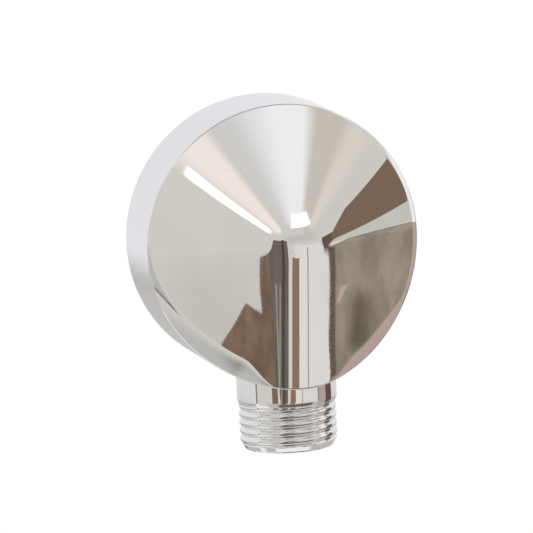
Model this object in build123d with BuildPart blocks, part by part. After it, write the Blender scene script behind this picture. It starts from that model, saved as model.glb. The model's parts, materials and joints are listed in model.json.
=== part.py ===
"""Wall outlet elbow: a one-piece brass casting that turns a water inlet in the wall down to a hose thread.

Frame: the wall is the plane y = 0, the front faces -Y, +Z is up, and the origin lies on the inlet's axis.
All sizes are in millimetres.
"""

import os
from math import acos, atan2, cos, degrees, hypot, sin

from build123d import *

# Body: a round rim closed by a half cone above and a straight gable with a rounded ridge below
rim_diameter = 60.0
rim_depth = 18.0
ridge_depth = 29.5
ridge_radius = 14.5
front_edge_radius = 0.4
back_edge_chamfer = 0.5

# Hollow back of the casting
wall_thickness = 2.8
pocket_corner_radius = 1.2

# Outlet: a smooth neck, then a plain cylinder at the crests of the hose thread
outlet_axis_depth = 15.0
neck_diameter = 21.4
neck_length = 4.4
outlet_thread_diameter = 20.955
outlet_thread_length = 10.1
outlet_lead_length = 1.8
outlet_lead_depth = 1.1

# Inlet: a boss in the hollow back, bored to the crests of its inside thread
inlet_boss_diameter = 27.0
inlet_boss_recess = 0.5
inlet_thread_bore = 18.631
inlet_thread_length = 7.9
inlet_lead_chamfer = 1.0

# Waterway: from the end of the inlet thread to the outlet axis, then straight down
waterway_diameter = 11.0
waterway_jacket_wall = 6.5
outlet_mouth_chamfer = 0.6

# Places that follow from the sizes above
rim_radius = rim_diameter / 2
neck_end_z = -(rim_radius + neck_length)
outlet_end_z = neck_end_z - outlet_thread_length
waterway_radius = waterway_diameter / 2
jacket_radius = waterway_radius + waterway_jacket_wall
inlet_bore_end = inlet_boss_recess + inlet_lead_chamfer + inlet_thread_length

# Plan: x to the right and depth from the wall as the two directions of a sketch, extruded downwards
plan = Plane(origin=(0, 0, 0), x_dir=(1, 0, 0), z_dir=(0, 0, -1))
# Wall plane: sketches on it are extruded away from the wall
wall_plane = Plane(origin=(0, 0, 0), x_dir=(1, 0, 0), z_dir=(0, -1, 0))
inlet_axis = Axis((0, 0, 0), (0, -1, 0))


def half_section(inset):
    """Right half of the body's level section, with every outer line moved in by inset."""
    centre_depth = ridge_depth - ridge_radius
    to_corner = atan2(rim_depth - centre_depth, rim_radius)
    corner_distance = hypot(rim_radius, rim_depth - centre_depth)
    tangent = to_corner + acos(ridge_radius / corner_distance)
    half_width = rim_radius - inset
    arc_radius = ridge_radius - inset
    arc_end = (arc_radius * cos(tangent), centre_depth + arc_radius * sin(tangent))
    side_depth = arc_end[1] - (half_width - arc_end[0]) * cos(tangent) / sin(tangent)
    with BuildSketch(plan) as section:
        with BuildLine():
            Polyline(
                (0, arc_radius + centre_depth),
                (0, 0),
                (half_width, 0),
                (half_width, side_depth),
                arc_end,
            )
            CenterArc((0, centre_depth), arc_radius, degrees(tangent), 90 - degrees(tangent))
        make_face()
    return section.sketch


def gable_form(inset, edge_radius):
    """Half cone above the inlet axis and straight gable below it, cut round, with its front edge rounded."""
    radius = rim_radius - inset
    with BuildPart() as form:
        revolve(half_section(inset), axis=inlet_axis, revolution_arc=180)
        level_section = form.faces().filter_by(Axis.Z)
        extrude(level_section, amount=radius, dir=(0, 0, -1))
        with BuildSketch(wall_plane):
            Circle(radius)
        extrude(amount=ridge_depth, mode=Mode.INTERSECT)
        front_edge = form.edges().filter_by(lambda edge: is_front_edge(edge, radius))
        fillet(front_edge, edge_radius)
    return form.part


def is_front_edge(edge, radius):
    """True for the edges where the front face meets the round side."""
    tolerance = 0.01
    middle = edge @ 0.5
    on_side = hypot(middle.X, middle.Z) > radius - tolerance
    off_wall = max((edge @ 0).Y, (edge @ 1).Y) < -tolerance
    return on_side and off_wall


# Space left open at the back: the body's form one wall further in, around the inlet boss and the jacket
with BuildPart() as pocket:
    add(gable_form(wall_thickness, pocket_corner_radius))
    with BuildSketch(wall_plane.offset(inlet_boss_recess)):
        Circle(inlet_boss_diameter / 2)
    extrude(amount=ridge_depth, mode=Mode.SUBTRACT)
    with BuildSketch(plan):
        with Locations((0, outlet_axis_depth)):
            Circle(jacket_radius)
        with Locations((0, outlet_axis_depth + ridge_depth / 2)):
            Rectangle(2 * jacket_radius, ridge_depth)
    extrude(amount=rim_diameter, mode=Mode.SUBTRACT)

with BuildPart() as elbow_body:
    add(gable_form(0, front_edge_radius))
    back_edge = elbow_body.edges().filter_by(GeomType.CIRCLE).group_by(Axis.Y)[-1]
    chamfer(back_edge, back_edge_chamfer)
    add(pocket.part, mode=Mode.SUBTRACT)

    # Outlet spigot
    with BuildSketch(plan):
        with Locations((0, outlet_axis_depth)):
            Circle(neck_diameter / 2)
    extrude(amount=-neck_end_z)
    with BuildSketch(plan.offset(-neck_end_z)):
        with Locations((0, outlet_axis_depth)):
            Circle(outlet_thread_diameter / 2)
    extrude(amount=outlet_thread_length)
    outlet_end = elbow_body.faces().sort_by(Axis.Z)[0]
    chamfer(outlet_end.edges(), outlet_lead_depth, outlet_lead_length, reference=outlet_end)

    # Inlet bore
    with BuildSketch(wall_plane):
        Circle(inlet_thread_bore / 2)
    extrude(amount=inlet_bore_end, mode=Mode.SUBTRACT)
    inlet_mouth = elbow_body.faces().filter_by(Axis.Y).sort_by(Axis.Y)[-2].inner_wires()[0]
    chamfer(inlet_mouth.edges(), inlet_lead_chamfer)

    # Waterway
    with BuildSketch(wall_plane):
        Circle(waterway_radius)
    extrude(amount=outlet_axis_depth, mode=Mode.SUBTRACT)
    with BuildSketch(plan):
        with Locations((0, outlet_axis_depth)):
            Circle(waterway_radius)
    extrude(amount=-outlet_end_z, mode=Mode.SUBTRACT)
    with Locations((0, -outlet_axis_depth, 0)):
        Sphere(waterway_radius, mode=Mode.SUBTRACT)
    outlet_mouth = elbow_body.faces().sort_by(Axis.Z)[0].inner_wires()[0]
    chamfer(outlet_mouth.edges(), outlet_mouth_chamfer)

os.makedirs("parts", exist_ok=True)
elbow_body.part.label = "elbow_body"
export_step(elbow_body.part, "parts/elbow_body.step")
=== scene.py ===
import json
from math import acos, atan2, cos, hypot, pi, radians, sin, tan

import bmesh
import bpy
import numpy as np
from mathutils import Matrix, Vector


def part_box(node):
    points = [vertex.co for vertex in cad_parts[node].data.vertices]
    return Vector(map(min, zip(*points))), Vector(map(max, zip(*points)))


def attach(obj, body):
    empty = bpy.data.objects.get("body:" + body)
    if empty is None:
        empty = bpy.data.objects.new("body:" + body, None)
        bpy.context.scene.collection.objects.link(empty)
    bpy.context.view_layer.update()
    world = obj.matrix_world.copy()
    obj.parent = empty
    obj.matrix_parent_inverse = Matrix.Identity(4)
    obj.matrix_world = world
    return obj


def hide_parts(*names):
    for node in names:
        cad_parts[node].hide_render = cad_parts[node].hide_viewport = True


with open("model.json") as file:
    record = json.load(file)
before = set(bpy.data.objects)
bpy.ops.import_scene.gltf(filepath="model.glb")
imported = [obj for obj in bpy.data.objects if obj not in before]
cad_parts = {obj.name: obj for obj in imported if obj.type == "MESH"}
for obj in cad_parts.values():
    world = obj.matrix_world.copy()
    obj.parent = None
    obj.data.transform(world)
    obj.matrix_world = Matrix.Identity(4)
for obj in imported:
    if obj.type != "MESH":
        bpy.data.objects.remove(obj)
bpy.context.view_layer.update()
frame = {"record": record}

MM = 0.001

# Sizes that the frame gives
NODE = "elbow_body"
node_low, node_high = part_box(NODE)
mounts = {mount["name"]: mount for mount in frame["record"]["mounts"]}
rim_radius = node_high.x
ridge_depth = -node_low.y
outlet_end_z = node_low.z
outlet_mount = mounts["hose_outlet"]
outlet_axis_y = outlet_mount["pos_m"][1]
outlet_thread_radius = outlet_mount["dims"]["r_mm"] * MM
outlet_thread_top = outlet_mount["pos_m"][2] + outlet_mount["dims"]["length_mm"] * MM / 2
inlet_mount = mounts["wall_inlet"]
inlet_bore_radius = inlet_mount["dims"]["r_mm"] * MM
inlet_bore_mouth = inlet_mount["pos_m"][1] + inlet_mount["dims"]["length_mm"] * MM / 2
inlet_bore_end = inlet_mount["pos_m"][1] - inlet_mount["dims"]["length_mm"] * MM / 2

# Sizes of the casting that the frame doesn't name
rim_depth = 18 * MM
ridge_radius = 14.5 * MM
front_edge_radius = 0.4 * MM
back_edge_chamfer = 0.5 * MM
wall_thickness = 2.8 * MM
pocket_corner_radius = 1.2 * MM
neck_radius = 10.7 * MM
neck_edge_length = 0.9 * MM
outlet_lead_length = 1.8 * MM
outlet_lead_depth = 1.1 * MM
outlet_end_rounding = 0.25 * MM
inlet_boss_radius = 13.5 * MM
inlet_lead_chamfer = 1.0 * MM
waterway_radius = 5.5 * MM
jacket_radius = 12 * MM
outlet_mouth_chamfer = 0.6 * MM

# Polishing draws the front's edge back a little, most at the lower left and least at the right
left_buffed_width = 4.2 * MM
left_buffed_drop = 0.36 * MM
lower_right_buffed_width = 2.8 * MM
lower_right_buffed_drop = 0.35 * MM
right_buffed_width = 1.1 * MM
right_buffed_drop = 0.14 * MM
buffed_curve = 1.4

# Degrees below the level line where buffing begins and is full, and where it leaves off beside the ridge
left_buffed_from, left_buffed_full = -15, 50
lower_right_buffed_from, lower_right_buffed_full = 12, 48
ridge_spared_from, ridge_spared_full = 62, 80

# Pipe threads, rounded by polishing and plating
thread_pitch = 1.814 * MM
thread_depth = 0.5 * MM
thread_runout = 0.7 * MM
thread_crest_curve = 1.5
outlet_thread_phase = 0.174

# Mesh density: points around a form, rings across the front, and rings in one turn of a thread
BODY_AROUND, BODY_RINGS = 384, 72
POCKET_AROUND, POCKET_RINGS = 192, 24
OUTLET_AROUND, OUTLET_STEPS = 240, 20
INLET_AROUND, INLET_STEPS = 192, 14
WATERWAY_AROUND, WATERWAY_DOME_RINGS = 96, 16
JACKET_BEND_POINTS = 49
FRONT_EDGE_RINGS, NECK_EDGE_RINGS, OUTLET_END_RINGS = 10, 12, 6

# Places of the rings: the front's first in half turns of a sine, and the side's in shares of its depth
FIRST_FRONT_RING = 0.012
SIDE_RINGS = (0.004, 0.1, 0.3, 0.5, 0.7, 0.9, 0.99, 1)

# Lengths that count as nothing, in the finished mesh and in a division
SLIVER = 0.002 * MM
TINY = 1e-9

# Faces that meet at more than this keep a sharp edge
SHARP_ANGLE = radians(30)

# Material slots of the piece
CHROME, CASTING, BRASS = range(3)


def turn(count):
    """Angles of one full turn."""
    return np.linspace(0, 2 * pi, count, endpoint=False)


def smooth_step(share):
    """Soft rise from 0 to 1."""
    share = np.clip(share, 0, 1)
    return share * share * (3 - 2 * share)


def about_inlet(across, up, along):
    """Points about the inlet's axis, with along measured towards the wall."""
    return np.stack([across, along, up], axis=-1)


def about_outlet(across, back, along):
    """Points about the outlet's axis, with along measured upwards."""
    return np.stack([across, back + outlet_axis_y, along], axis=-1)


def ring_mesh(name, rings, slots):
    """Closed mesh through rings of points, with slots for the first end, each band and the last end."""
    ends = [ring.mean(axis=0) for ring in (rings[0], rings[-1])]
    count = len(rings[0])
    first = len(ends)
    last = first + (len(rings) - 1) * count
    vertices = np.vstack([*ends, *rings])
    faces, materials = [], []
    for i in range(count):
        j = (i + 1) % count
        faces.append((0, first + j, first + i))
        materials.append(slots[0])
        for k in range(len(rings) - 1):
            low, high = first + k * count, first + (k + 1) * count
            faces.append((low + i, low + j, high + j, high + i))
            materials.append(slots[k + 1])
        faces.append((1, last + i, last + j))
        materials.append(slots[-1])
    mesh = bpy.data.meshes.new(name)
    mesh.from_pydata(vertices.tolist(), [], faces)
    mesh.polygons.foreach_set("material_index", materials)
    form = bmesh.new()
    form.from_mesh(mesh)
    bmesh.ops.recalc_face_normals(form, faces=form.faces)
    form.to_mesh(mesh)
    form.free()
    made = bpy.data.objects.new(name, mesh)
    bpy.context.scene.collection.objects.link(made)
    return made


# Front: a half cone above the inlet's axis and a straight gable below it

ridge_centre = ridge_depth - ridge_radius
ridge_end = atan2(rim_depth - ridge_centre, rim_radius) + acos(
    ridge_radius / hypot(rim_radius, rim_depth - ridge_centre)
)


def front_section(inset, across):
    """Depth of the level section at a distance from its middle, and its normal there, moved in by inset."""
    radius = ridge_radius - inset
    end_across, end_depth = radius * cos(ridge_end), ridge_centre + radius * sin(ridge_end)
    on_arc = across < end_across
    arc_depth = ridge_centre + np.sqrt(np.maximum(radius**2 - across**2, 0))
    line_depth = end_depth - (across - end_across) / tan(ridge_end)
    depth = np.where(on_arc, arc_depth, line_depth)
    outward = np.where(on_arc, across / radius, cos(ridge_end))
    return depth, outward


def front_surface(inset, x, z):
    """Points and normals of the front at x and z, moved in by inset."""
    across = np.where(z > 0, np.hypot(x, z), np.abs(x))
    depth, outward = front_section(inset, across)
    reach = np.maximum(across, TINY)
    normal_z = np.where(z > 0, outward * z / reach, 0)
    normal = np.stack([outward * x / reach, -np.sqrt(1 - outward**2), normal_z], axis=-1)
    return np.stack([x, -depth, z], axis=-1), normal


def buffed(points):
    """The same points, drawn back along the front's lower and right edge as polishing leaves it."""
    x, z = points[:, 0], points[:, 2]
    out = np.hypot(x, z)
    below = np.degrees(np.arctan2(-z, np.abs(x)))
    beside_ridge = smooth_step((ridge_spared_full - below) / (ridge_spared_full - ridge_spared_from))
    left = smooth_step((below - left_buffed_from) / (left_buffed_full - left_buffed_from))
    left_lobe = np.where(x < 0, left * beside_ridge, 0)
    lower_right_span = lower_right_buffed_full - lower_right_buffed_from
    lower_right = smooth_step((below - lower_right_buffed_from) / lower_right_span)
    lower_right_lobe = np.where(x > 0, lower_right * beside_ridge, 0)
    right_lobe = np.clip(x / out, 0, 1) ** 2
    drop = 0 * x
    for width, most in (
        (left_buffed_width * left_lobe, left_buffed_drop * left_lobe),
        (lower_right_buffed_width * lower_right_lobe, lower_right_buffed_drop * lower_right_lobe),
        (right_buffed_width, right_buffed_drop * right_lobe),
    ):
        share = np.clip(1 - (rim_radius - out) / np.maximum(width, SLIVER), 0, 1)
        drop += most * share**buffed_curve
    return points + np.stack([0 * x, drop, 0 * x], axis=-1)


def gable_form(name, density, inset, edge_radius, back_y, back_chamfer, slots):
    """The casting's round body, or the space one wall inside it, with a rounded front edge."""
    around, front_rings = density
    angle = turn(around)
    radius = rim_radius - inset
    ball = radius - edge_radius
    centre, front_normal = front_surface(inset + edge_radius, ball * np.cos(angle), ball * np.sin(angle))
    contact = centre + edge_radius * front_normal
    side_normal = np.stack([np.cos(angle), 0 * angle, np.sin(angle)], axis=-1)
    rings = []
    for share in np.sin(np.linspace(FIRST_FRONT_RING, 0.5, front_rings) * pi):
        point, _ = front_surface(inset, share * contact[:, 0], share * contact[:, 2])
        rings.append(buffed(point))
    bend = np.arccos(np.clip((front_normal * side_normal).sum(axis=-1), -1, 1))[:, None]
    for share in np.linspace(0, 1, FRONT_EDGE_RINGS)[1:]:
        mixed = np.sin((1 - share) * bend) * front_normal + np.sin(share * bend) * side_normal
        rings.append(buffed(centre + edge_radius * (mixed / np.sin(bend))))
    side_start = rings[-1][:, 1]
    side_end = back_y - back_chamfer
    for share in SIDE_RINGS:
        y = side_start + share * (side_end - side_start)
        rings.append(about_inlet(radius * np.cos(angle), radius * np.sin(angle), y))
    if back_chamfer:
        end = radius - back_chamfer
        rings.append(about_inlet(end * np.cos(angle), end * np.sin(angle), 0 * angle + back_y))
    return ring_mesh(name, rings, [slots[0]] * len(rings) + [slots[1]])


def turned_form(name, count, profile, place, slot, face_slot=None):
    """Turned solid: profile gives radius and height of each ring, and place turns them to points.

    Its first end has the material face_slot, if that is given.
    """
    angle = turn(count)
    rings = []
    for radius, height in profile:
        rings.append(place(radius * np.cos(angle), radius * np.sin(angle), height + 0 * angle))
    first_slot = slot if face_slot is None else face_slot
    return ring_mesh(name, rings, [first_slot] + [slot] * len(rings))


def thread_drop(along, angle, phase):
    """How far a right-hand thread's surface lies below its wide round crests."""
    turns = along / thread_pitch - angle / (2 * pi) - phase
    off_crest = 2 * np.abs(turns - np.round(turns))
    return thread_depth * (1 - np.cos(pi * off_crest**thread_crest_curve)) / 2


def outlet_spigot():
    """Neck and male thread, with its top buried in the body."""
    angle = turn(OUTLET_AROUND)
    step = thread_pitch / OUTLET_STEPS
    buried_top = -0.6 * rim_radius
    neck_end = outlet_thread_top
    straight_end = neck_end + 1.5 * neck_edge_length
    neck_edge_depth = neck_radius - outlet_thread_radius
    profile = [(neck_radius, buried_top), (neck_radius, straight_end)]
    for bend in np.linspace(0, pi / 2, NECK_EDGE_RINGS):
        radius = neck_radius - neck_edge_depth * (1 - cos(bend))
        profile.append((radius, neck_end + neck_edge_length * (1 - sin(bend))))
    lead_radius = outlet_thread_radius - outlet_lead_depth
    lead_slope = outlet_lead_depth / outlet_lead_length
    for z in np.arange(neck_end - step, outlet_end_z + outlet_end_rounding, -step):
        cut = smooth_step((neck_end - z) / thread_runout)
        threaded = outlet_thread_radius - cut * thread_drop(z, angle, outlet_thread_phase)
        profile.append((np.minimum(threaded, lead_radius + (z - outlet_end_z) * lead_slope), z))
    end_radius = profile[-1][0]
    for bend in np.linspace(0, pi / 2, OUTLET_END_RINGS)[1:]:
        radius = end_radius - outlet_end_rounding * (1 - cos(bend))
        profile.append((radius, outlet_end_z + outlet_end_rounding * (1 - sin(bend))))
    return turned_form("outlet_spigot", OUTLET_AROUND, profile, about_outlet, CHROME)


def inlet_space():
    """Space of the inlet: a lead chamfer and the female thread, down to a shoulder."""
    angle = turn(INLET_AROUND)
    reach = 2 * inlet_lead_chamfer
    profile = [(inlet_bore_radius + reach, inlet_bore_mouth + reach)]
    for y in np.arange(inlet_bore_mouth + inlet_lead_chamfer, inlet_bore_end, -thread_pitch / INLET_STEPS):
        cut = smooth_step((y - inlet_bore_end) / thread_runout)
        threaded = inlet_bore_radius + cut * (thread_depth - thread_drop(y, -angle, 0))
        profile.append((np.maximum(threaded, inlet_bore_radius + y - inlet_bore_mouth), y))
    profile.append((inlet_bore_radius, inlet_bore_end))
    return turned_form("inlet_space", INLET_AROUND, profile, about_inlet, BRASS)


def waterway_spaces():
    """Space of the waterway: one bore in from the inlet and one down the outlet, round where they meet."""
    start = (inlet_bore_mouth + inlet_bore_end) / 2
    meet = outlet_axis_y + 0.05 * waterway_radius
    level = [(waterway_radius, y) for y in (start, (start + meet) / 2, meet)]
    first_bend = 0.1
    down = []
    for bend in np.linspace(first_bend, pi / 2, WATERWAY_DOME_RINGS):
        down.append((waterway_radius * sin(bend), waterway_radius * cos(bend)))
    flare = outlet_end_z + outlet_mouth_chamfer
    past_end = 2 * outlet_mouth_chamfer
    down.append((waterway_radius, flare))
    down.append((waterway_radius + past_end, flare - past_end))
    return [
        turned_form("level_waterway", WATERWAY_AROUND, level, about_inlet, BRASS),
        turned_form("down_waterway", WATERWAY_AROUND, down, about_outlet, BRASS),
    ]


def inlet_boss():
    """Round boss that carries the inlet, from its machined face to past the front."""
    face = inlet_bore_mouth + inlet_lead_chamfer
    profile = [(inlet_boss_radius, y) for y in (face, face - rim_radius / 2, -2 * ridge_depth)]
    return turned_form("inlet_boss", INLET_AROUND, profile, about_inlet, CASTING, face_slot=BRASS)


def waterway_jacket():
    """Upright core around the waterway, round towards the wall and straight to the ridge."""
    bend = np.linspace(0, pi, JACKET_BEND_POINTS)
    x = np.concatenate([jacket_radius * np.cos(bend), [-jacket_radius, jacket_radius]])
    y = outlet_axis_y + np.concatenate([jacket_radius * np.sin(bend), [-ridge_depth, -ridge_depth]])
    heights = (-0.05 * rim_radius, -0.5 * rim_radius, -2 * rim_radius)
    rings = [np.stack([x, y, z + 0 * x], axis=-1) for z in heights]
    return ring_mesh("waterway_jacket", rings, [CASTING] * (len(rings) + 1))


def combine(piece, tool, operation):
    """Joins the tool to the piece or cuts it out, and removes the tool."""
    step = piece.modifiers.new(tool.name, "BOOLEAN")
    step.object = tool
    step.operation = operation
    step.solver = "MANIFOLD"
    step.material_mode = "INDEX"
    bpy.context.view_layer.update()
    made = bpy.data.meshes.new_from_object(piece.evaluated_get(bpy.context.evaluated_depsgraph_get()))
    piece.modifiers.clear()
    piece.data = made
    bpy.data.objects.remove(tool)


def clean(mesh):
    """Removes the slivers that joining and cutting leave."""
    form = bmesh.new()
    form.from_mesh(mesh)
    bmesh.ops.remove_doubles(form, verts=form.verts, dist=SLIVER)
    bmesh.ops.dissolve_degenerate(form, edges=form.edges, dist=SLIVER)
    form.to_mesh(mesh)
    form.free()


def elbow(materials):
    """The whole fitting as one closed mesh, with its threads cut."""
    body = gable_form(
        "elbow",
        density=(BODY_AROUND, BODY_RINGS),
        inset=0,
        edge_radius=front_edge_radius,
        back_y=0,
        back_chamfer=back_edge_chamfer,
        slots=(CHROME, BRASS),
    )
    pocket = gable_form(
        "pocket",
        density=(POCKET_AROUND, POCKET_RINGS),
        inset=wall_thickness,
        edge_radius=pocket_corner_radius,
        back_y=wall_thickness,
        back_chamfer=0,
        slots=(CASTING, CASTING),
    )
    spigot, boss, jacket, inlet = outlet_spigot(), inlet_boss(), waterway_jacket(), inlet_space()
    level, down = waterway_spaces()
    for form in (body, pocket, spigot, boss, jacket, inlet, level, down):
        for material in materials:
            form.data.materials.append(material)
    for core in (boss, jacket):
        combine(pocket, core, "DIFFERENCE")
    combine(body, spigot, "UNION")
    for space in (pocket, inlet, level, down):
        combine(body, space, "DIFFERENCE")
    clean(body.data)
    body.data.shade_smooth()
    body.data.set_sharp_from_angle(angle=SHARP_ANGLE)
    return body


# Materials

# Colours that each metal varies between, linear
CHROME_COLOURS = (0.825, 0.825, 0.83), (0.84, 0.84, 0.845)
CASTING_COLOURS = (0.42, 0.41, 0.38), (0.62, 0.61, 0.58)
BRASS_COLOURS = (0.62, 0.42, 0.17), (0.86, 0.66, 0.33)

# Specks in the chrome: their size as a share of a cell, and how much rougher they are
SPECK_SIZE, SPECK_ROUGHNESS = 0.035, 0.2

# Range that most values of a noise lie in
NOISE_LOW, NOISE_HIGH = 0.35, 0.65


class Shading:
    """Nodes of one material, made and linked in short calls."""

    def __init__(self, name):
        self.material = bpy.data.materials.new(name)
        self.material.use_nodes = True
        self.tree = self.material.node_tree
        self.tree.nodes.clear()

    def node(self, kind, settings=None, **inputs):
        """New shader node, with its inputs given as values or as sockets of other nodes."""
        made = self.tree.nodes.new("ShaderNode" + kind)
        for key, value in (settings or {}).items():
            setattr(made, key, value)
        for key, value in inputs.items():
            self.put(made, key.replace("_", " "), value)
        return made

    def put(self, node, socket, value):
        """Sets an input, given by name or number, to a value, or links it to another node's socket."""
        target = node.inputs[socket]
        if isinstance(value, bpy.types.NodeSocket):
            self.tree.links.new(value, target)
        else:
            target.default_value = (*value, 1) if target.type == "RGBA" else value

    def math(self, operation, *values):
        """Result of one operation on values or sockets."""
        made = self.node("Math", {"operation": operation})
        for number, value in enumerate(values):
            self.put(made, number, value)
        return made.outputs[0]

    def noise(self, place, scale, detail=2.0, roughness=0.5):
        """Soft random value from 0 to 1."""
        made = self.node("TexNoise", Vector=place, Scale=scale, Detail=detail, Roughness=roughness)
        return made.outputs["Fac"]

    def ramp(self, value, **limits):
        """The value, carried from one range to another with soft ends."""
        made = self.node("MapRange", {"interpolation_type": "SMOOTHSTEP"}, Value=value, **limits)
        return made.outputs["Result"]

    def spread(self, value, low=0.0, high=1.0):
        """A noise's value, carried from the middle of its range to low and high."""
        return self.ramp(value, From_Min=NOISE_LOW, From_Max=NOISE_HIGH, To_Min=low, To_Max=high)

    def blend(self, share, first, second):
        """Colour between two."""
        made = self.node("Mix", {"data_type": "RGBA"})
        for number, value in ((0, share), (6, first), (7, second)):
            self.put(made, number, value)
        return made.outputs[2]

    def bump(self, height, distance, normal=None):
        """Normal of a surface that the height roughens, on top of another normal if that is given."""
        made = self.node("Bump", Height=height, Distance=distance)
        if normal is not None:
            self.put(made, "Normal", normal)
        return made.outputs["Normal"]

    def finish(self, shader):
        """The material, with this shader on its surface."""
        self.node("OutputMaterial", Surface=shader)
        return self.material

    def metal(self, colour, roughness, normal):
        """The material, finished as bare metal."""
        shader = self.node("BsdfPrincipled", Metallic=1.0, Roughness=roughness, Normal=normal)
        self.put(shader, "Base Color", colour)
        return self.finish(shader.outputs[0])


def chrome_material():
    """Bright chrome on hand-polished brass: slightly wavy, with fine wipe marks and a few specks."""
    shading = Shading("chrome")
    place = shading.node("TexCoord").outputs["Object"]
    waves = shading.noise(place, scale=75, detail=1.0)
    ripple = shading.noise(place, scale=260, detail=1.0)
    stretched = shading.node("Mapping", Vector=place, Rotation=(0.3, 0.5, 0.7), Scale=(1, 14, 5)).outputs[0]
    wiped = shading.noise(stretched, scale=500, detail=3.0, roughness=0.6)
    cells = shading.node("TexVoronoi", Vector=place, Scale=220).outputs["Distance"]
    specks = shading.math("LESS_THAN", cells, SPECK_SIZE)
    normal = shading.bump(waves, distance=0.0045 * MM)
    normal = shading.bump(ripple, distance=0.0004 * MM, normal=normal)
    normal = shading.bump(specks, distance=0.006 * MM, normal=normal)
    haze = shading.spread(wiped, low=0.005, high=0.022)
    rough = shading.math("MULTIPLY_ADD", specks, SPECK_ROUGHNESS, haze)
    colour = shading.blend(shading.spread(waves), *CHROME_COLOURS)
    return shading.metal(colour, rough, normal)


def casting_material():
    """Thin plating over the rough casting of the hollow back."""
    shading = Shading("casting")
    place = shading.node("TexCoord").outputs["Object"]
    grain = shading.noise(place, scale=1400, detail=4.0, roughness=0.6)
    patches = shading.noise(place, scale=90, detail=3.0, roughness=0.6)
    normal = shading.bump(patches, distance=0.25 * MM)
    normal = shading.bump(grain, distance=0.09 * MM, normal=normal)
    rough = shading.spread(grain, low=0.32, high=0.5)
    colour = shading.blend(shading.spread(patches), *CASTING_COLOURS)
    return shading.metal(colour, rough, normal)


def brass_material():
    """Bare brass as the lathe leaves it."""
    shading = Shading("brass")
    place = shading.node("TexCoord").outputs["Object"]
    rings = {"wave_type": "RINGS", "rings_direction": "Y"}
    cuts = shading.node("TexWave", rings, Vector=place, Scale=900.0, Distortion=0.6, Detail=2.0)
    stain = shading.noise(place, scale=160, detail=4.0, roughness=0.6)
    normal = shading.bump(cuts.outputs["Fac"], distance=0.012 * MM)
    rough = shading.spread(stain, low=0.2, high=0.36)
    colour = shading.blend(shading.spread(stain), *BRASS_COLOURS)
    return shading.metal(colour, rough, normal)


piece = elbow([chrome_material(), casting_material(), brass_material()])
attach(piece, "root")
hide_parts(NODE)

# Studio: a white world, a pale floor, and cards around the part that only its reflections show

# Colours of the cards, linear
WARM_GREY = (0.73, 0.70, 0.655)
PALE = (0.82, 0.80, 0.76)
PALE_BEIGE = (0.80, 0.745, 0.665)
DIM_GREY = (0.72, 0.71, 0.69)
DIM_BEIGE = (0.655, 0.61, 0.54)
HAZE_GREY = (0.65, 0.625, 0.58)
TIP_GREY = (0.62, 0.6, 0.56)
COOL_GREY = (0.56, 0.555, 0.54)
MID_GREY = (0.41, 0.38, 0.33)
CEILING_GREY = (0.42, 0.42, 0.43)
# Painted shadow: dark grey for the shaded back of the base
SHADOW_GREY = (0.16, 0.15, 0.145)
DARK = (0.085, 0.077, 0.066)
WARM_WHITE = (1.02, 0.93, 0.86)
PINK_WHITE = (0.87, 0.815, 0.77)
COOL_WHITE = (0.86, 0.86, 0.885)
SHADED_WHITE = (0.48, 0.465, 0.455)
BEIGE = (0.63, 0.62, 0.57)
BLUSH = (0.6, 0.45, 0.37)
ROSE = (0.52, 0.405, 0.355)
PINK_GREY = (0.42, 0.33, 0.28)
BROWN = (0.225, 0.15, 0.107)
LIGHT_BROWN = (0.36, 0.34, 0.29)
RED_BROWN = (0.295, 0.19, 0.14)
GREY_BROWN = (0.175, 0.148, 0.122)
DARK_BROWN = (0.15, 0.092, 0.08)
TAUPE = (0.33, 0.283, 0.22)
DARK_TAUPE = (0.17, 0.14, 0.103)
LAMP = (1.7, 1.7, 1.7)

# Distances of the cards from the origin, from far to near, in metres
FAR, OVERHEAD, MIDDLE, NEAR = 3.0, 2.9, 2.4, 2.0
RIGHT_BACK, RIGHT_FRONT, RIGHT_FIRST = 0.5, 0.48, 0.47
LEFT_BACK, BASE, LEFT_MIDDLE, LEFT_FRONT, LEFT_FIRST = 0.41, 0.4, 0.395, 0.39, 0.388
SIDE, LOW, STAND_BACK, STAND = 0.38, 0.36, 0.305, 0.3
SIDE_LAMP, KEY_LAMP = 0.07, 0.06

# Degrees that a card takes to fade out across and up, and scales of a slight mottle
SOFT, SHARP, SOFT_SIDES, SOFTER_SIDES = (0.4, 0.4), (0.05, 0.05), (0.4, 0), (0.8, 0)
MOTTLE, COARSE_MOTTLE = 60, 40
MOTTLE_DIM, MOTTLE_BRIGHT = 0.8, 1.2

# Flags close to the part lean below the bend, by so many degrees to the left for each one down
BEND, FOOT, LEAN = -9.3, -19, 1.68

CARD_STEPS = 24


def direction(azimuth, elevation):
    """Unit vectors from the part, with azimuth measured from the front to the right."""
    level = np.cos(elevation)
    return np.stack([np.sin(azimuth) * level, -np.cos(azimuth) * level, np.sin(elevation)], axis=-1)


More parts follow.
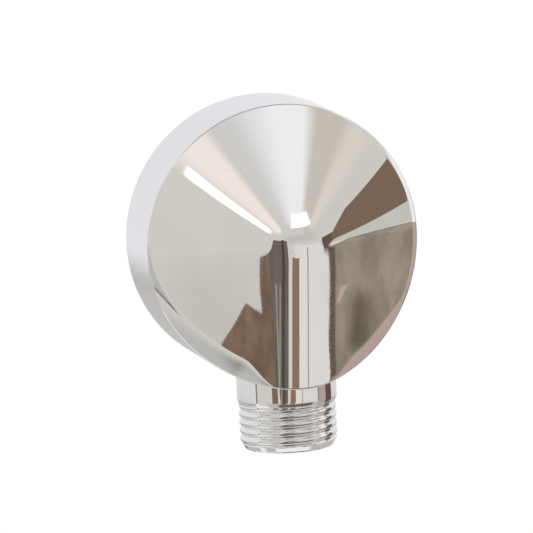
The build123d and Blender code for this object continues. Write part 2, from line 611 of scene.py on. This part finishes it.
def card_material(name, colour, soft_shares, mottle):
    """Even light of one colour, fading out along the card's edges, mottled if a scale for it is given."""
    shading = Shading(name)
    coordinates = shading.node("TexCoord")
    spot = shading.node("SeparateXYZ", Vector=coordinates.outputs["UV"])
    cover = 1.0
    for value, soft in zip(spot.outputs, soft_shares):
        if soft:
            from_edge = shading.math("MINIMUM", value, shading.math("SUBTRACT", 1.0, value))
            cover = shading.math("MULTIPLY", shading.ramp(from_edge, From_Max=soft), cover)
    if mottle:
        stretched = shading.node("Mapping", Vector=coordinates.outputs["Object"], Scale=(3, 3, 1)).outputs[0]
        patches = shading.spread(shading.noise(stretched, scale=mottle, detail=4.0, roughness=0.65))
        dim = tuple(MOTTLE_DIM * channel for channel in colour)
        bright = tuple(MOTTLE_BRIGHT * channel for channel in colour)
        colour = shading.blend(patches, dim, bright)
    mix = shading.node("MixShader", Fac=cover)
    shading.put(mix, 1, shading.node("BsdfTransparent").outputs[0])
    shading.put(mix, 2, shading.node("Emission", Color=colour).outputs[0])
    return shading.finish(mix.outputs[0])


def card(name, distance, corners, colour, soft=SOFT, mottle=0):
    """Studio card: its corners, from the lower left round, are azimuth and elevation in degrees."""
    low_left, low_right, high_right, high_left = (np.array(corner, float) for corner in corners)
    share = np.linspace(0, 1, CARD_STEPS + 1)
    across, up = (grid[..., None] for grid in np.meshgrid(share, share))
    low = low_left + across * (low_right - low_left)
    high = high_left + across * (high_right - high_left)
    angles = np.radians(low + up * (high - low))
    points = distance * direction(angles[..., 0], angles[..., 1])
    row = CARD_STEPS + 1
    faces = []
    for i in range(CARD_STEPS):
        for j in range(CARD_STEPS):
            start = i * row + j
            faces.append((start, start + 1, start + row + 1, start + row))
    mesh = bpy.data.meshes.new(name)
    mesh.from_pydata(points.reshape(-1, 3).tolist(), [], faces)
    layer = mesh.uv_layers.new()
    spots = np.concatenate([across, up], axis=-1).reshape(-1, 2)
    for loop in mesh.loops:
        layer.data[loop.index].uv = spots[loop.vertex_index]
    width = abs(np.mean([low_right[0] - low_left[0], high_right[0] - high_left[0]]))
    height = abs(np.mean([high_left[1] - low_left[1], high_right[1] - low_right[1]]))
    mesh.materials.append(card_material(name, colour, (soft[0] / width, soft[1] / height), mottle))
    made = bpy.data.objects.new(name, mesh)
    bpy.context.scene.collection.objects.link(made)
    made.visible_camera = False
    made.visible_diffuse = False
    made.visible_shadow = False


def upright(left, right, low, high):
    """Corners of a card with upright sides."""
    return (left, low), (right, low), (right, high), (left, high)


def leaning(left, right, high):
    """Corners of a card that leans to the left, with its sides given at the bend, from its foot to high."""
    foot_shift = LEAN * (FOOT - BEND)
    high_shift = LEAN * (high - BEND)
    low_corners = (left + foot_shift, FOOT), (right + foot_shift, FOOT)
    high_corners = (right + high_shift, high), (left + high_shift, high)
    return *low_corners, *high_corners


def surrounding_cards():
    """Backdrop behind the camera, a ceiling, a base below the part with a painted shadow at its back, and
    broad shades above its front.
    """
    card("backdrop", FAR, ((-86, -50), (64, -50), (64, 28), (-86, 45)), WARM_GREY, (2, 4))
    card("ceiling", FAR, upright(-180, 180, 44, 89), CEILING_GREY, (0, 4))
    card("base", BASE, upright(-62, 240, -64, -14.5), COOL_GREY, (4, 4.5))
    card("base_under", BASE, upright(72, 288, -89, -58), COOL_GREY, (4, 4))
    # Painted shadow: a dark card behind and below the part where the base lies in shade
    card("base_back", STAND, upright(150, 192, -85, -24), SHADOW_GREY, (3, 3))
    card("left_top", FAR, upright(-135, -60, 14, 44), MID_GREY, (6, 6))
    card("middle_top", OVERHEAD, upright(-60, 20, 30, 50), DIM_GREY, (26, 2))
    card("tip_shade", OVERHEAD, upright(-18, 62, -1, 21), TIP_GREY, (24, 10))
    card("right_top", OVERHEAD, upright(28.5, 50.5, 12, 42), DIM_BEIGE, (7, 4))


def softboxes():
    """Two lamps close to the part and the glow around them."""
    key_corners = (0.6, 19.3), (28.6, 18.5), (21.6, 24.8), (6.6, 27.2)
    side_corners = (-34.6, 24.9), (-17.8, 12.4), (-14.9, 16.4), (-32.4, 28.7)
    card("key_light", KEY_LAMP, key_corners, LAMP, (2.6, 1.3))
    card("side_light", SIDE_LAMP, side_corners, LAMP, (1.6, 0.7))
    card("side_glow", MIDDLE, upright(-40, -8, 18, 34.5), WARM_WHITE, (4, 7))
    card("right_glow", MIDDLE, upright(40, 54, 17, 27), PALE_BEIGE, (4, 4))


def standing_flags():
    """Strips that the left edge, the ridge and the neck show, from left to right, with leaning feet."""
    card("left_edge", MIDDLE, upright(-92, -86, -13, 10), TAUPE)
    card("left_line", MIDDLE, upright(-64, -36, -14.4, -13.2), DARK_TAUPE, (1, 0.3))
    card("left_brown", MIDDLE, upright(-49.5, -35.5, -12.5, -6), BROWN)
    card("white_flag", MIDDLE, upright(11.5, 62, -40, -1.5), PALE, (0.4, 1.5))
    grey_corners = (-28.85, BEND), (-1.2, BEND), (-2.5, 8), (-23, 10.5)
    grey_foot_corners = (-28.85, FOOT), (-17.5, FOOT), (-1.2, BEND), (-28.85, BEND)
    card("grey_flag", STAND_BACK, grey_corners, GREY_BROWN, (0.2, 0), MOTTLE)
    card("grey_foot", STAND_BACK, grey_foot_corners, GREY_BROWN, (0.2, 0), MOTTLE)
    card("dark_flag", STAND, upright(-11.7, -6.8, BEND, 10), DARK, SOFT_SIDES)
    card("dark_foot", STAND, leaning(-11.7, -6.8, BEND), DARK, SOFT_SIDES)
    light_corners = (-28.5, FOOT), (-27, FOOT), (-20.9, BEND - 1), (-24.5, BEND - 1)
    card("first_light_foot", STAND, light_corners, LIGHT_BROWN, SOFTER_SIDES)
    card("second_light_foot", STAND, leaning(-16, -13.4, BEND - 1), LIGHT_BROWN, SOFTER_SIDES)
    card("brown_foot", STAND, leaning(4.2, 16, BEND + 0.6), RED_BROWN, SOFT_SIDES)
    white_corners = (14, BEND), (30.2, BEND), (30.2, -4.9), (14, -8.4)
    card("white_edge", STAND_BACK, white_corners, PINK_WHITE, SOFT_SIDES)
    card("white_foot", STAND_BACK, leaning(14, 30.2, BEND), PINK_WHITE, SOFT_SIDES)
    card("pink_line", STAND, upright(29.4, 31.7, BEND, -4.6), PINK_GREY, SOFT_SIDES)
    card("pink_foot", STAND, leaning(29.4, 31.7, BEND), PINK_GREY, SOFT_SIDES)
    card("low_flag", LOW, upright(-38, 48, -64, -17), DARK_TAUPE, (6, 4))


def left_face_cards():
    """Haze and a brown patch that the left flat face shows."""
    patch_corners = (-31.82, -12.9), (-29.8, -14.8), (-29.74, -11.36), (-30.41, -10.91)
    strip_corners = (-29.9, -14.8), (-28.9, -14.8), (-28.8, -8.8), (-29.8, -9.2)
    card("left_haze", LEFT_BACK, upright(-34.5, -28.8, -13.8, -8.4), HAZE_GREY, (2.4, 1.8))
    card("left_low", LEFT_MIDDLE, upright(-56, -35.4, -14.6, -5), COOL_GREY, (1.2, 1.5))
    card("left_patch", LEFT_FRONT, patch_corners, BROWN, SHARP, MOTTLE)
    card("left_strip", LEFT_FIRST, strip_corners, BROWN, SHARP, MOTTLE)


def right_face_cards():
    """Brown and taupe cards that the right flat face and the rim's right edge show."""
    brown_corners = (57, -3.6), (63, 3.4), (55.8, 15.3), (53.2, 10)
    taupe_corners = (58.95, -18), (66, -18), (66, -6.3), (59.45, -6.3)
    shade_corners = (59.3, -13.2), (60.5, -13.2), (60.95, -10.5), (59.7, -10.4)
    blush_corners = (59.27, -11.25), (59.47, -11.1), (59.78, -10.55), (59.52, -10.6)
    strip_corners = (58.87, -15), (59.13, -15), (59.46, -9.3), (59.21, -9.3)
    post_corners = (57.4, -9.6), (57.9, -9.6), (56.6, 1.8), (54.1, 3.4)
    card("right_brown", STAND, brown_corners, BROWN, SHARP)
    card("right_beige", NEAR, upright(57.5, 66, -6.8, 1), BEIGE)
    card("right_taupe", RIGHT_BACK, taupe_corners, TAUPE, SHARP, COARSE_MOTTLE)
    card("right_shade", RIGHT_FRONT, shade_corners, DARK_TAUPE, (0.5, 0.9), COARSE_MOTTLE)
    card("right_blush", RIGHT_FIRST, blush_corners, BLUSH, SHARP)
    card("right_strip", RIGHT_FRONT, strip_corners, DARK_BROWN, SHARP)
    card("right_post", STAND, post_corners, DARK_BROWN, (0.3, 0.6))
    card("right_pink", SIDE, upright(62.3, 82, -45, -6), ROSE)
    card("right_dark", SIDE, upright(82, 107, -36, 6), DARK_BROWN, (0.4, 2))
    card("right_high", MIDDLE, upright(92, 140, 4, 40), MID_GREY, (3, 3))


def back_cards():
    """White screen behind the part, shaded at its foot."""
    card("back_screen", NEAR, upright(110, 268, -18, 60), COOL_WHITE, (4, 9))
    card("back_screen_foot", MIDDLE, upright(110, 268, -40, -4), SHADED_WHITE, (4, 4))


surrounding_cards()
softboxes()
standing_flags()
left_face_cards()
right_face_cards()
back_cards()

# Floor
FLOOR_DROP = 1.2
FLOOR_RADIUS = 5.0
FLOOR_CORNERS = 128
FLOOR_COLOURS = (0.97, 0.97, 0.97), (0.99, 0.99, 0.99)


def studio_floor():
    """Pale floor well below the part."""
    shading = Shading("floor")
    place = shading.node("TexCoord").outputs["Object"]
    colour = shading.blend(shading.spread(shading.noise(place, scale=3)), *FLOOR_COLOURS)
    shader = shading.node("BsdfPrincipled", Base_Color=colour, Roughness=0.9)
    mesh = bpy.data.meshes.new("floor")
    form = bmesh.new()
    bmesh.ops.create_circle(form, cap_ends=True, segments=FLOOR_CORNERS, radius=FLOOR_RADIUS)
    form.to_mesh(mesh)
    form.free()
    mesh.materials.append(shading.finish(shader.outputs[0]))
    floor = bpy.data.objects.new("floor", mesh)
    floor.location = (0, outlet_axis_y, outlet_end_z - FLOOR_DROP)
    bpy.context.scene.collection.objects.link(floor)


studio_floor()

# World
world = bpy.data.worlds.new("studio")
world.use_nodes = True
world.node_tree.nodes["Background"].inputs["Color"].default_value = (1, 1, 1, 1)
bpy.context.scene.world = world
bpy.context.scene.view_settings.view_transform = "Standard"

# Camera, at the photo's angle
IMAGE_SIZE = 533
camera_azimuth = radians(-15.22)
camera_elevation = radians(9.84)
camera_roll = radians(-2.88)
camera_distance = 1.783
camera_clip_end = 20
focal_pixels = 8320.6
camera_target = Vector((-2.257 * MM, -12 * MM, -5.814 * MM))

back = Vector(direction(camera_azimuth, camera_elevation))
level_right = Vector((cos(camera_azimuth), sin(camera_azimuth), 0))
level_up = back.cross(level_right)
right = cos(camera_roll) * level_right + sin(camera_roll) * level_up
up = back.cross(right)
camera_place = Matrix((right, up, back)).transposed().to_4x4()
camera_place.translation = camera_target + camera_distance * back
camera_data = bpy.data.cameras.new("camera")
camera_data.lens = focal_pixels / IMAGE_SIZE * camera_data.sensor_width
camera_data.clip_end = camera_clip_end
camera = bpy.data.objects.new("camera", camera_data)
camera.matrix_world = camera_place
bpy.context.scene.collection.objects.link(camera)
bpy.context.scene.camera = camera
